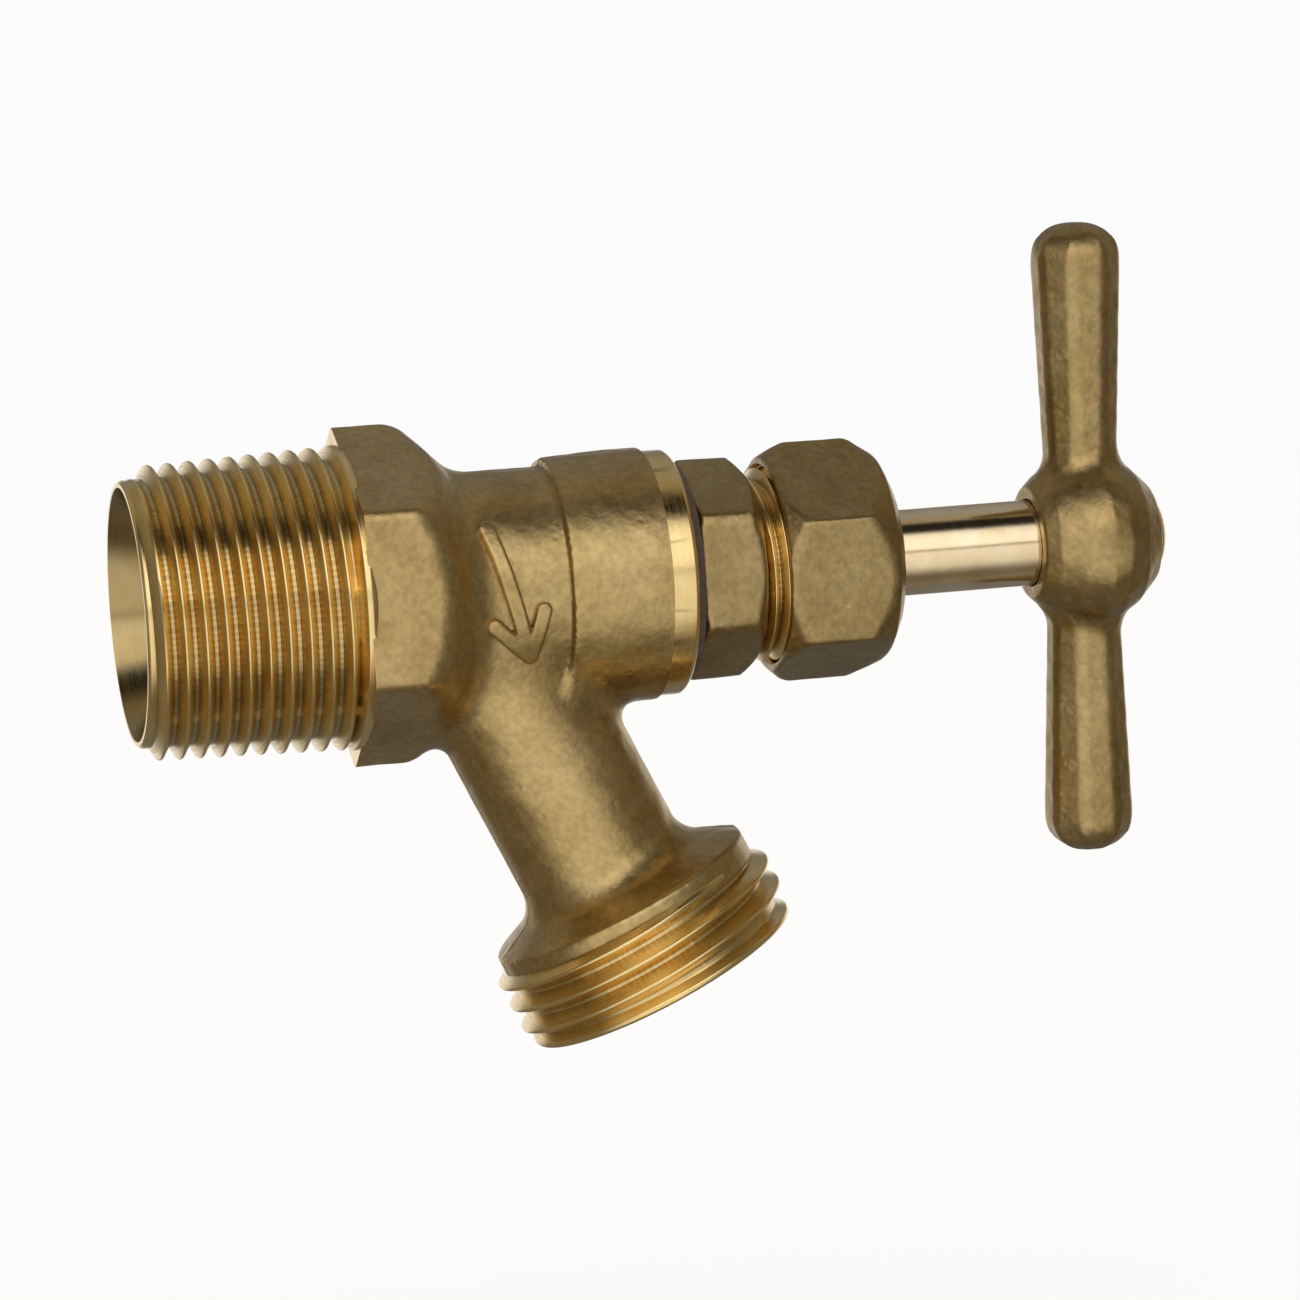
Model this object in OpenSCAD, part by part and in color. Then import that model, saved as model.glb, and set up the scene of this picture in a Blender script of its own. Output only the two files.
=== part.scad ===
// Hose bib: a brass compression valve with a tapered pipe inlet, a hose-thread spout and a T handle.
// X runs from the inlet face to the handle, Z is up, and the spout leans down and away from the inlet.
// The valve is drawn open, and the stem thread is right-handed.

/* [Inlet thread] */
// Pitch of the tapered pipe thread, 14 threads to the inch
inlet_pitch = 1.814; // [1.2:0.001:2.4]
// Crest radius of the pipe thread at the small end
inlet_crest_r = 13.015; // [12.6:0.005:13.3]
// Depth of the pipe thread
inlet_depth = 1.36; // [1:0.01:1.5]
// Length of the threaded end, up to the body hexagon
inlet_len = 19.4; // [16:0.1:22]
// Radius of the inlet waterway
inlet_bore_r = 10.2; // [8:0.1:10.5]

/* [Body] */
// Body hexagon, across the flats
hex_af = 26.6; // [26:0.1:28]
// Length of the full hexagon
hex_len = 5.4; // [4:0.1:7]
// Outside radius of the neck behind the hexagon
neck_r = 10.35; // [10:0.05:10.6]
// Outside radius of the barrel that takes the bonnet
barrel_r = 11.4; // [11:0.05:12]
// Where the barrel starts along X
barrel_x = 37.9; // [37:0.1:38.6]
// Where the machined end of the barrel lies along X
barrel_end_x = 49.6; // [49:0.1:49.8]
// Radius of the hole through the valve seat
orifice_r = 5.5; // [4:0.1:5.8]
// Where the seat face lies along X
seat_x = 28; // [27.5:0.1:28.4]

/* [Spout] */
// Lean of the spout from straight down, towards the handle
spout_angle = 24.5; // [20:0.5:28]
// Where the spout axis meets the main axis along X
spout_x = 29.6; // [29.6:0.1:31]
// Outside radius of the spout
spout_r = 7.65; // [7.3:0.05:8]
// Radius of the spout waterway
spout_bore_r = 6.2; // [5:0.1:6.3]
// Length of the spout from the main axis to its end face
spout_len = 40.2; // [39.8:0.1:42]
// Major radius of the hose thread
hose_r = 13.49; // [13.4:0.01:13.5]
// Pitch of the hose thread, 11.5 threads to the inch
hose_pitch = 2.209; // [1.8:0.001:2.3]

/* [Bonnet and packing nut] */
// Bonnet hexagon, across the flats
bonnet_af = 17.8; // [17.4:0.1:19]
// Packing nut hexagon, across the flats
nut_af = 19.4; // [19:0.1:20]
// Turn of the packing nut, as it was tightened
nut_turn = 10; // [-30:1:30]
// Pitch of the bonnet and packing nut threads, 20 threads to the inch
fine_pitch = 1.27; // [1:0.01:1.4]

/* [Stem and handle] */
// Radius of the stem shank
stem_r = 3.97; // [3.8:0.01:3.98]
// Pitch of the stem thread
stem_pitch = 2.5; // [2.5:0.1:2.6]
// Reach of each handle arm from the stem axis
handle_reach = 29.3; // [25:0.1:32]
// Turn of the handle about the stem
handle_turn = 7; // [-45:1:45]
// Where the handle arms lie along X
handle_x = 89; // [88.6:0.1:89.2]

/* [Hidden] */
$fn = 96;

cast_brass = [0.52, 0.41, 0.23];
turned_brass = [0.86, 0.68, 0.32];
stem_brass = [0.80, 0.70, 0.52];

eps = 0.01;                         // overlap between joined solids
hex_end_x = inlet_len + hex_len;
inlet_land = (inlet_pitch - 2 * inlet_depth * tan(30)) / 2;   // flat on each crest and in each root
hose_land = hose_pitch / 8;
hose_depth = (hose_pitch / 2 - hose_land) / tan(30);
spout_shoulder = 29.5;              // where the spout starts to flare, along the spout
hose_start = 32.7;                  // where the hose thread starts, along the spout
washer_counterbore_r = 9;

chamber_r = 8.3;
chamber_x = seat_x - 1.8;
seat_lip_r = 7;
spout_bore_start = 5.9;             // along the spout, just clear of the seat lip

fit_gap = 0.15;                     // between the crests and roots of mating threads
fine_land = fine_pitch / 10;
fine_depth = (fine_pitch / 2 - fine_land) / tan(30);
joint_crest_r = 9.1;                // bonnet thread in the barrel
joint_turns = 4;
joint_start = 43.6;
bonnet_bottom_x = 42.5;
bonnet_hex_x = barrel_end_x + 0.8;
bonnet_hex_end_x = 56.5;
bonnet_top_x = 66.3;
nut_crest_r = 8.8;                  // packing nut thread on the bonnet
nut_turns = 7;
nut_start = 57.2;
nut_x = 58.4;
nut_flat_end_x = 67.2;
nut_end_x = 69.9;
gland_top_x = 68.15;                // where the gland meets the inside of the nut

screw_root_r = 4.55;                // stem thread
screw_crest_r = 5.55;
screw_half_root = 0.775;            // half its width at the root
screw_flank = 0.4;                  // how fast its half width falls with radius
screw_x = 45.2;
screw_end_x = 56.6;
guide_x = 58.4;
relief_x = 57.2;                    // undercut past the end of the stem thread
packing_x = 60;
packing_r = 6.3;
running = 0.08;                     // radial clearance of the turning stem

hub_x = 83.8;
hub_end_x = 95.3;
stem_end_x = 96.4;
tang_w = 5.2;
rivet_r = 3.4;

washer_x = 35.55;                   // face of the seat washer, valve open
washer_t = 3.2;
washer_r = 6.5;
holder_x = washer_x + washer_t;
holder_r = 7.2;
holder_t = 2;
swivel_x = holder_x + holder_t + 0.4;
swivel_r = 2.9;
swivel_neck_r = 2.1;

// Stand a solid drawn along +Z on the X axis, at x
module on_x(x = 0) {
    translate([x, 0, 0]) rotate([0, 90, 0]) children();
}

// Stand a solid drawn along +Z on the spout axis, pointing out of the spout
module on_spout(t = 0) {
    translate([spout_x, 0, 0]) rotate([0, 180 - spout_angle, 0]) translate([0, 0, t]) children();
}

// A hexagonal bar across the flats af, with one pair of flats facing along Y
module hex_bar(af, h, turn = 0) {
    rotate([0, 0, turn]) cylinder(r = af / 2 / cos(30), h = h, $fn = 6);
}

// A round solid from a list of [radius, height] points
module turned(points) {
    rotate_extrude() polygon(concat([[0, points[0][1]]], points, [[0, points[len(points) - 1][1]]]));
}

// Outline of one groove and crest after another, [radius, height], on a cone of the given slope
function ring_thread(count, start, pitch, crest_r, depth, land, slope = 0) = [
    for (i = [0:count - 1])
        let (z = start + i * pitch, r = crest_r + slope * z, w = (pitch - 2 * land) / 2)
            for (p = [[r, z - land / 2], [r, z + land / 2], [r - depth, z + land / 2 + w],
                [r - depth, z + 3 * land / 2 + w]]) p
];

// A helical ridge: z at angle 0 is the middle of its section; widths are measured along Z
module ridge(root_r, crest_r, pitch, turns, root_w, crest_w, sink = 0.4, seg = 20) {
    steps = ceil(turns * seg);
    section = [[root_r - sink, -root_w / 2], [root_r - sink, root_w / 2], [crest_r, crest_w / 2],
        [crest_r, -crest_w / 2]];
    m = len(section);
    points = [for (i = [0:steps]) for (q = section)
        [q[0] * cos(360 * i / seg), q[0] * sin(360 * i / seg), q[1] + pitch * i / seg]];
    sides = [for (i = [0:steps - 1]) for (j = [0:m - 1]) for (t = [0, 1])
        let (a = i * m + j, b = i * m + (j + 1) % m) t == 0 ? [a, a + m, b] : [b, a + m, b + m]];
    caps = [[for (j = [0:m - 1]) j], [for (j = [m - 1:-1:0]) steps * m + j]];
    polyhedron(points = points, faces = concat(caps, sides), convexity = 10);
}

// Outline of a fine thread from its first crest, or of the wall that clears it
function fine_thread(turns, start, crest_r, gap = 0) =
    ring_thread(turns, start, fine_pitch, crest_r + gap, fine_depth, fine_land);

// The stem thread as a ridge, or as the groove that clears it
function screw_width(r, gap) = 2 * (screw_half_root - (r - screw_root_r) * screw_flank + gap);
module screw_ridge(turns, gap = 0) {
    sink = 0.2;
    outer = screw_crest_r + 1.3 * gap;
    ridge(screw_root_r, outer, stem_pitch, turns, screw_width(screw_root_r - sink, gap),
        screw_width(outer, gap), sink = sink);
}

module inlet_outside() {
    mouth_r = 12;
    turns = floor(inlet_len / inlet_pitch);
    first = inlet_len - (turns - 0.5) * inlet_pitch;
    first_root = first - inlet_pitch / 2;
    root_r = inlet_crest_r - inlet_depth;
    intersection() {
        turned(concat([[mouth_r + 1, 0], [mouth_r + 1, first - inlet_pitch + inlet_land / 2],
            [root_r, first_root - inlet_land / 2], [root_r, first_root + inlet_land / 2]],
            ring_thread(turns, first, inlet_pitch, inlet_crest_r, inlet_depth, inlet_land, 1 / 32),
            [[inlet_crest_r + inlet_len / 32 - 0.3, inlet_len + 0.4]]));
        turned([[mouth_r, 0], [mouth_r + 1.2, 1.6], [hex_af / 2 + 1, inlet_len],
            [hex_af / 2 + 1, inlet_len + 1]]);
    }
}

module body_outside() {
    slope_end = hex_end_x + hex_af / 2 / cos(30) - neck_r;
    band_x = barrel_end_x - 2;      // bright band turned on the end of the barrel
    band_r = barrel_r - 0.25;
    on_x() inlet_outside();
    intersection() {
        on_x(inlet_len) hex_bar(hex_af, slope_end - inlet_len);
        on_x() turned([[hex_af, inlet_len], [hex_af / 2 / cos(30), hex_end_x], [neck_r, slope_end]]);
    }
    on_x(hex_end_x) cylinder(r = neck_r, h = barrel_x - hex_end_x + eps);
    on_x() turned([[neck_r, barrel_x], [barrel_r - 0.2, barrel_x + 0.6], [barrel_r, barrel_x + 4],
        [barrel_r, band_x - 0.4], [band_r, band_x], [band_r, barrel_end_x - 0.3],
        [band_r - 0.3, barrel_end_x]]);
    on_spout() spout_outside();
}

module spout_outside() {
    root_r = hose_r - hose_depth;
    turned(concat([[spout_r, 0], [spout_r, spout_shoulder - 1.5], [spout_r + 0.6, spout_shoulder],
        [12.4, hose_start - 0.2], [root_r + 0.4, hose_start]],
        ring_thread(3, hose_start + 0.75, hose_pitch, hose_r, hose_depth, hose_land),
        [[hose_r - 0.1, spout_len - 0.2], [hose_r - 0.5, spout_len]]));
}

module body_inside() {
    shoulder_x = seat_x - 7.5;
    on_x() turned([[11.4, -eps], [11.3, 0], [inlet_bore_r, 4], [inlet_bore_r, shoulder_x],
        [orifice_r, shoulder_x + 3], [orifice_r, seat_x + eps]]);
    difference() {
        on_x(chamber_x) cylinder(r = chamber_r, h = bonnet_bottom_x - chamber_x);
        on_x(chamber_x - eps) cylinder(r = seat_lip_r, h = seat_x - chamber_x + eps);
    }
    on_x() turned(concat([[chamber_r, bonnet_bottom_x - eps]],
        fine_thread(joint_turns, joint_start, joint_crest_r, fit_gap),
        [[joint_crest_r + fit_gap, barrel_end_x - 1.2], [joint_crest_r + fit_gap, barrel_end_x + eps]]));
    on_spout(spout_bore_start) cylinder(r = spout_bore_r, h = spout_len);
    on_spout(spout_shoulder + 1) cylinder(r1 = spout_bore_r - eps, r2 = washer_counterbore_r, h = 3);
    on_spout(spout_shoulder + 4 - eps) cylinder(r = washer_counterbore_r, h = spout_len);
}

module valve_body() {
    color(cast_brass) difference() {
        body_outside();
        body_inside();
    }
}

module bonnet() {
    joint_root_r = joint_crest_r - fine_depth;
    nut_root_r = nut_crest_r - fine_depth;
    bore_r = screw_root_r + 0.2;
    color(cast_brass) difference() {
        union() {
            on_x() turned(concat(
                [[joint_root_r - 0.4, bonnet_bottom_x], [joint_root_r, bonnet_bottom_x + 0.4]],
                fine_thread(joint_turns, joint_start, joint_crest_r),
                [[joint_root_r, bonnet_hex_x + eps]]));
            intersection() {
                on_x(bonnet_hex_x) hex_bar(bonnet_af, bonnet_hex_end_x - bonnet_hex_x);
                on_x() turned([[9.9, bonnet_hex_x], [10.4, bonnet_hex_x + 0.4],
                    [10.1, bonnet_hex_end_x - 1.1], [8.8, bonnet_hex_end_x]]);
            }
            on_x() turned(concat([[nut_root_r, bonnet_hex_end_x - eps]],
                fine_thread(nut_turns, nut_start, nut_crest_r), [[nut_root_r, bonnet_top_x]]));
        }
        on_x(bonnet_bottom_x - eps) cylinder(r1 = screw_crest_r + 0.8, r2 = bore_r, h = 1.6);
        on_x(bonnet_bottom_x - eps) cylinder(r = bore_r, h = relief_x - bonnet_bottom_x + 1);
        on_x(screw_x - 2 * stem_pitch)
            screw_ridge((relief_x - screw_x) / stem_pitch + 2.4, fit_gap);
        on_x(relief_x) cylinder(r = screw_crest_r + 0.5, h = guide_x - relief_x);
        on_x(guide_x - 1) cylinder(r = stem_r + running, h = packing_x - guide_x + 2);
        on_x(packing_x) cylinder(r = packing_r, h = bonnet_top_x);
    }
}

module tube_on_x(x, length, outer_r, inner_r) {
    on_x(x) difference() {
        cylinder(r = outer_r, h = length);
        translate([0, 0, -1]) cylinder(r = inner_r, h = length + 2);
    }
}

module bonnet_gasket() {
    color([0.30, 0.13, 0.09])
        tube_on_x(barrel_end_x, bonnet_hex_x - barrel_end_x, 9.9, joint_crest_r - fine_depth + 0.05);
}

module packing_washer() {
    color(turned_brass) tube_on_x(packing_x, 0.8, packing_r - 0.05, stem_r + running);
}

module packing_ring_inner() {
    color([0.13, 0.13, 0.14]) tube_on_x(packing_x + 0.8, 2, packing_r - 0.02, stem_r + 0.04);
}

module packing_ring_outer() {
    color([0.13, 0.13, 0.14]) tube_on_x(packing_x + 2.8, 2, packing_r - 0.02, stem_r + 0.04);
}

module packing_gland() {
    sleeve_x = packing_x + 4.8;
    flange_x = bonnet_top_x + 0.6;
    color(turned_brass) difference() {
        on_x() turned([[packing_r - 0.1, sleeve_x], [packing_r - 0.1, flange_x], [7.6, flange_x],
            [7.6, gland_top_x]]);
        on_x(sleeve_x - 1) cylinder(r = stem_r + running, h = 6);
    }
}

module packing_nut() {
    bore_r = nut_crest_r - fine_depth + fit_gap;
    corner_r = nut_af / 2 / cos(30);
    color(cast_brass) difference() {
        intersection() {
            on_x(nut_x) hex_bar(nut_af, nut_end_x - nut_x, nut_turn);
            on_x() turned([[9.8, nut_x], [10.8, nut_x + 1.2], [corner_r, nut_x + 2],
                [corner_r, nut_flat_end_x - 1.2], [10.5, nut_flat_end_x], [9.5, nut_flat_end_x + 1.5],
                [7.8, nut_flat_end_x + 2.4], [6, nut_end_x]]);
        }
        on_x(nut_x - eps) cylinder(r = bore_r, h = gland_top_x - nut_x + eps);
        on_x() turned(concat([[nut_crest_r + 0.4, nut_x - eps], [bore_r, nut_x + 0.9]],
            fine_thread(nut_turns - 1, nut_start + 2 * fine_pitch, nut_crest_r, fit_gap),
            [[bore_r, bonnet_top_x + 1.5]]));
        on_x(nut_x) cylinder(r = stem_r + 0.35, h = 20);
    }
}

module stem() {
    tang_x = hub_x + 2.2;
    color(stem_brass) union() {
        on_x() turned([[swivel_r - 0.4, swivel_x], [swivel_r, swivel_x + 0.4], [swivel_r, swivel_x + 1.8],
            [swivel_neck_r, swivel_x + 1.8], [swivel_neck_r, screw_x - 0.2], [screw_root_r, screw_x - 0.2],
            [screw_root_r, screw_end_x], [stem_r, screw_end_x + 0.5], [stem_r, tang_x]]);
        intersection() {
            on_x(screw_x - stem_pitch) screw_ridge((screw_end_x - screw_x) / stem_pitch + 2);
            on_x() turned([[screw_root_r, screw_x - 0.2], [screw_crest_r + 0.2, screw_x + 0.9],
                [screw_crest_r + 0.2, screw_end_x - 1], [screw_root_r, screw_end_x]]);
        }
        on_x(tang_x - eps) translate([-tang_w / 2, -tang_w / 2, 0])
            cube([tang_w, tang_w, hub_end_x - tang_x + 0.1]);
        on_x() turned([[rivet_r, hub_end_x], [rivet_r, hub_end_x + 0.45],
            [rivet_r - 0.6, stem_end_x - 0.15], [rivet_r - 1.2, stem_end_x]]);
    }
}

// One handle arm along +Z, flattened towards +X and -X after on_x
module handle_arm() {
    root_r = 3.15;
    tip_r = 4.1;
    straight = handle_reach - tip_r;
    flat_out = 0.93;
    intersection() {
        union() {
            cylinder(r1 = root_r, r2 = tip_r, h = straight);
            translate([0, 0, straight]) sphere(r = tip_r);
        }
        rotate([90, 0, 90]) translate([0, 0, -tip_r - 1]) linear_extrude(2 * tip_r + 2)
            polygon([[-root_r * flat_out, 0], [root_r * flat_out, 0], [tip_r * flat_out, straight],
                [tip_r * flat_out, handle_reach + 1], [-tip_r * flat_out, handle_reach + 1],
                [-tip_r * flat_out, straight]]);
    }
}

module handle() {
    color(cast_brass) difference() {
        union() {
            on_x() turned([[5.4, hub_x], [6.3, hub_x + 1.2], [7.6, hub_x + 3.8], [8.1, hub_x + 5.8],
                [7.9, hub_x + 7.2], [6.7, hub_x + 9.4], [4.9, hub_end_x]]);
            for (side = [0, 180])
                translate([handle_x, 0, 0]) rotate([handle_turn + side, 0, 0]) handle_arm();
        }
        on_x(hub_x - eps) cylinder(r = stem_r + 0.3, h = 2.2 + eps);
        on_x(hub_x) translate([-tang_w / 2 - 0.05, -tang_w / 2 - 0.05, 0])
            cube([tang_w + 0.1, tang_w + 0.1, 20]);
    }
}

module disc_holder() {
    boss_r = 4.25;
    boss_end_x = swivel_x + 3.5;
    color(turned_brass) difference() {
        on_x() turned([[holder_r, holder_x - 1.8], [holder_r, holder_x + holder_t - 0.5],
            [holder_r - 0.5, holder_x + holder_t], [boss_r, holder_x + holder_t], [boss_r, boss_end_x]]);
        on_x(holder_x - 2) cylinder(r = washer_r + 0.05, h = 2);
        on_x(holder_x - 1) cylinder(r = 1.55, h = holder_t + 0.9);
        on_x(swivel_x - 0.1) cylinder(r = swivel_r + 0.1, h = 2);
        on_x(swivel_x) cylinder(r = swivel_neck_r + 0.1, h = 10);
    }
}

module seat_washer() {
    color([0.10, 0.10, 0.10]) difference() {
        on_x() turned([[washer_r - 0.5, washer_x], [washer_r, washer_x + 0.5], [washer_r, holder_x]]);
        on_x(washer_x - 1) cylinder(r = 1.6, h = washer_t + 2);
        on_x(washer_x - eps) cylinder(r1 = 3.1, r2 = 1.6, h = 1.2);
    }
}

module washer_screw() {
    head_r = 3;
    shank_r = 1.5;
    color(turned_brass) difference() {
        on_x() turned([[head_r - 0.6, washer_x - 1], [head_r, washer_x - 0.4], [head_r, washer_x - 0.02],
            [shank_r, washer_x + 1.12], [shank_r, holder_x + holder_t - 0.2]]);
        translate([washer_x - 1.1, -head_r - 1, -0.4]) cube([0.8, 2 * head_r + 2, 0.8]);
    }
}

valve_body();
bonnet();
bonnet_gasket();
packing_washer();
packing_ring_inner();
packing_ring_outer();
packing_gland();
packing_nut();
stem();
handle();
disc_holder();
seat_washer();
washer_screw();
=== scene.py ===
import math

import bpy
import numpy as np
from mathutils import Matrix, Vector


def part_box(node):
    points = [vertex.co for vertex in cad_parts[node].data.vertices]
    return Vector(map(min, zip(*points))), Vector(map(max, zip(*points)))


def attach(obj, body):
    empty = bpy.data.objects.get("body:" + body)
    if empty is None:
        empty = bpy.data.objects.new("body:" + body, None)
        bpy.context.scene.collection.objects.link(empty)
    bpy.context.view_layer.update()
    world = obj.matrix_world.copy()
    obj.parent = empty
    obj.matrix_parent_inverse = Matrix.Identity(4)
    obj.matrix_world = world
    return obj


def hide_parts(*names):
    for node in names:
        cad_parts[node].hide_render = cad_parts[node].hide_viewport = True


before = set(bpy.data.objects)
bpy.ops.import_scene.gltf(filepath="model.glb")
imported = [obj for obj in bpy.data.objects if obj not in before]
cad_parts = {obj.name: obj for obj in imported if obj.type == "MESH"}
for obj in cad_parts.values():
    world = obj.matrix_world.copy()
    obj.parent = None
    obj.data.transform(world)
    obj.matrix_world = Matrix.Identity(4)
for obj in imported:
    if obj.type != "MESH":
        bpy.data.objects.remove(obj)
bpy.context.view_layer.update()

# A brass hose bib. Sizes are in millimetres, in the frame's axes: X from the inlet to the handle, Z up.
# The outside castings are skinned from distance fields, and the turned and threaded parts are swept.
# Each finished piece is turned into metres once, when its object is made.

MM = 0.001


def cad_mm(node):
    """The low and high corners of a CAD node's box, in millimetres."""
    low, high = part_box(node)
    return np.array(low) / MM, np.array(high) / MM


# ---------------------------------------------------------------- sizes

BODY_LOW, BODY_HIGH = cad_mm("valve_body")
GASKET_LOW, GASKET_HIGH = cad_mm("bonnet_gasket")
NUT_LOW, NUT_HIGH = cad_mm("packing_nut")
HANDLE_LOW, HANDLE_HIGH = cad_mm("handle")

INLET_LEN = 19.4
INLET_PITCH = 1.814
INLET_CREST = 13.015
INLET_DEPTH = 1.12
INLET_TAPER = 1 / 32
MOUTH_R = 12.0
INLET_BORE = 10.2
SEAT_X = 28.0
SEAT_BORE = 5.5
CHAMBER_X, CHAMBER_END = 26.2, 42.5
CHAMBER_R = 8.3
COLLAR_R = 13.68
INLET_PHASE = 1.6

HEX_HALF = 13.3
HEX_ROUND = 1.4
HEX_END = 24.8
NECK_R = 10.35
BARREL_X = 37.9
BARREL_R = 11.4
BARREL_END = GASKET_LOW[0]
BAND_X = BARREL_END - 2.5
BAND_R = 11.12

SPOUT_X = 29.6
SPOUT_ANGLE = math.radians(24.5)
SPOUT_R = 7.65
SPOUT_BORE = 6.2
SPOUT_BORE_START = 5.9
WASHER_R = 9.0
SHOULDER_T = 29.5
HOSE_T = 32.7
HOSE_END = 40.2
HOSE_PITCH = 2.209
HOSE_R = 13.49
HOSE_ROOT = 12.06
HOSE_RIM = 13.0

BONNET_X = GASKET_HIGH[0]
BONNET_HALF = 8.9
BONNET_HEX_END = 56.5
BONNET_BOTTOM = 42.5
BONNET_TOP = cad_mm("bonnet")[1][0]
FINE_PITCH = 1.27
FINE_DEPTH = 0.88
JOINT_CREST = 9.1
NUT_CREST = 8.8

NUT_X, NUT_END = NUT_LOW[0], NUT_HIGH[0]
NUT_HALF = 9.7
NUT_TURN = math.radians(10)
NUT_FLAT_END = 67.2
GLAND_TOP = 68.15

STEM_R = 3.97
STEM_END = cad_mm("stem")[1][0]
SCREW_X, SCREW_END = 45.2, 56.6
SCREW_PITCH = 2.5
SCREW_ROOT, SCREW_CREST = 4.55, 5.55
TANG_HALF = 2.6
SWIVEL_X = 41.15
PACKING_X, PACKING_R = 60.0, 6.3

HUB_X, HUB_END = 83.8, 95.3
ARM_X = 89.0
HANDLE_TURN = math.radians(7)
HANDLE_REACH = 29.3
ARM_ROOT, ARM_TIP = 3.0, 3.9

MACHINED_BEVEL = 0.12
ROUND_SEGMENTS = 160
BODY_CELL, HEX_CELL, HANDLE_CELL, ARROW_CELL = 0.28, 0.22, 0.24, 0.13


# ---------------------------------------------------------------- distance fields

def blend(a, b, radius):
    """Union of two fields with a fillet."""
    u = np.maximum(radius - a, 0)
    v = np.maximum(radius - b, 0)
    return np.maximum(radius, np.minimum(a, b)) - np.sqrt(u * u + v * v)


def meet(a, b, radius):
    """Intersection of two fields with a rounded edge."""
    return -blend(-a, -b, radius)


def hexagon(y, z, half, rounding):
    """Distance to a hexagon with flats facing Y, half across its flats, and its corners rounded."""
    inner = half - rounding
    p, q = np.abs(z), np.abs(y)
    fold = 2 * np.minimum(-math.sqrt(3) / 2 * p + q / 2, 0)
    p = p + math.sqrt(3) / 2 * fold
    q = q - fold / 2
    side = inner / math.sqrt(3)
    p = p - np.clip(p, -side, side)
    q = q - inner
    return np.hypot(p, q) * np.sign(q) - rounding


def outline_field(x, r, outline):
    """Distance to the solid turned about X from an outline of (x, r) points, closed along the axis."""
    points = [(outline[0][0], -50)] + list(outline) + [(outline[-1][0], -50)]
    nearest = np.full(x.shape, 1e9)
    inside = np.zeros(x.shape, bool)
    for (x0, r0), (x1, r1) in zip(points, points[1:] + points[:1]):
        dx, dr = x1 - x0, r1 - r0
        along = np.clip(((x - x0) * dx + (r - r0) * dr) / (dx * dx + dr * dr), 0, 1)
        nearest = np.minimum(nearest, np.hypot(x - x0 - along * dx, r - r0 - along * dr))
        if dr:
            inside ^= ((r0 > r) != (r1 > r)) & (x < x0 + (r - r0) * dx / dr)
    return np.where(inside, -nearest, nearest)


def unevenness(x, y, z, height):
    """The slight waviness of a cast and tumbled face."""
    return height * (np.sin(1.1 * x + 0.7 * y) * np.sin(0.9 * y - 1.3 * z + 1)
                     + 0.6 * np.sin(2.3 * z + 1.9 * x + 2) * np.sin(2.1 * y + 0.8 * x))


def skin(field, low, high, cell):
    """Vertices and faces on the zero of a field: surface nets, then two steps straight onto the surface."""
    low = np.array(low, float)
    count = np.ceil((np.array(high) - low) / cell).astype(int) + 1
    axes = [low[k] + cell * np.arange(count[k]) for k in range(3)]
    values = np.empty(count)
    slab = 24
    for i in range(0, count[0], slab):
        values[i:i + slab] = field(*np.meshgrid(axes[0][i:i + slab], axes[1], axes[2], indexing="ij"))
    inside = values < 0

    corners = [(i, j, k) for i in (0, 1) for j in (0, 1) for k in (0, 1)]
    total = sum(inside[i:count[0] - 1 + i, j:count[1] - 1 + j, k:count[2] - 1 + k].astype(np.int8)
                for i, j, k in corners)
    cells = np.argwhere((total > 0) & (total < 8))
    index = np.full(count - 1, -1)
    index[tuple(cells.T)] = np.arange(len(cells))

    place = np.zeros((len(cells), 3))
    hits = np.zeros(len(cells))
    for a in corners:
        for axis in range(3):
            if a[axis]:
                continue
            b = tuple(v + (k == axis) for k, v in enumerate(a))
            va = values[tuple((cells + a).T)]
            vb = values[tuple((cells + b).T)]
            crossed = (va < 0) != (vb < 0)
            step = np.where(crossed, va / np.where(crossed, va - vb, 1), 0)
            point = np.array(a) + step[:, None] * np.eye(3)[axis]
            place += np.where(crossed[:, None], point, 0)
            hits += crossed
    points = low + cell * (cells + place / hits[:, None])

    faces = []
    for axis in range(3):
        u, v = [(1, 2), (2, 0), (0, 1)][axis]
        here = inside.take(range(count[axis] - 1), axis)
        there = inside.take(range(1, count[axis]), axis)
        edges = np.argwhere(here != there)
        edges = edges[(edges[:, u] > 0) & (edges[:, v] > 0)]
        starts = here[tuple(edges.T)]
        unit_u, unit_v = np.eye(3, dtype=int)[u], np.eye(3, dtype=int)[v]
        quad = np.stack([index[tuple((edges - shift).T)]
                         for shift in (unit_u + unit_v, unit_v, 0 * unit_u, unit_u)], 1)
        quad[~starts] = quad[~starts][:, ::-1]
        faces.append(quad)

    for _ in range(2):
        value = field(*points.T)
        tiny = 0.01
        slope = np.stack([field(*(points + tiny * np.eye(3)[k]).T) - value for k in range(3)], 1) / tiny
        step = value[:, None] * slope / np.maximum((slope * slope).sum(1), 0.2)[:, None]
        points = points - np.clip(step, -cell / 2, cell / 2)
    return points, np.concatenate(faces)


# ---------------------------------------------------------------- meshes

SPOUT_FRAME = (Matrix.Translation((SPOUT_X, 0, 0))
               @ Matrix.Rotation(math.pi / 2 - SPOUT_ANGLE, 4, "Y"))


def make_object(name, points, faces, material, place=Matrix.Identity(4)):
    """A mesh object in metres from points in millimetres."""
    mesh = bpy.data.meshes.new(name)
    mesh.from_pydata([place @ Vector(p) * MM for p in np.asarray(points).tolist()], [],
                     faces if isinstance(faces, list) else faces.tolist())
    mesh.materials.append(material)
    obj = bpy.data.objects.new(name, mesh)
    bpy.context.collection.objects.link(obj)
    return obj


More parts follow.
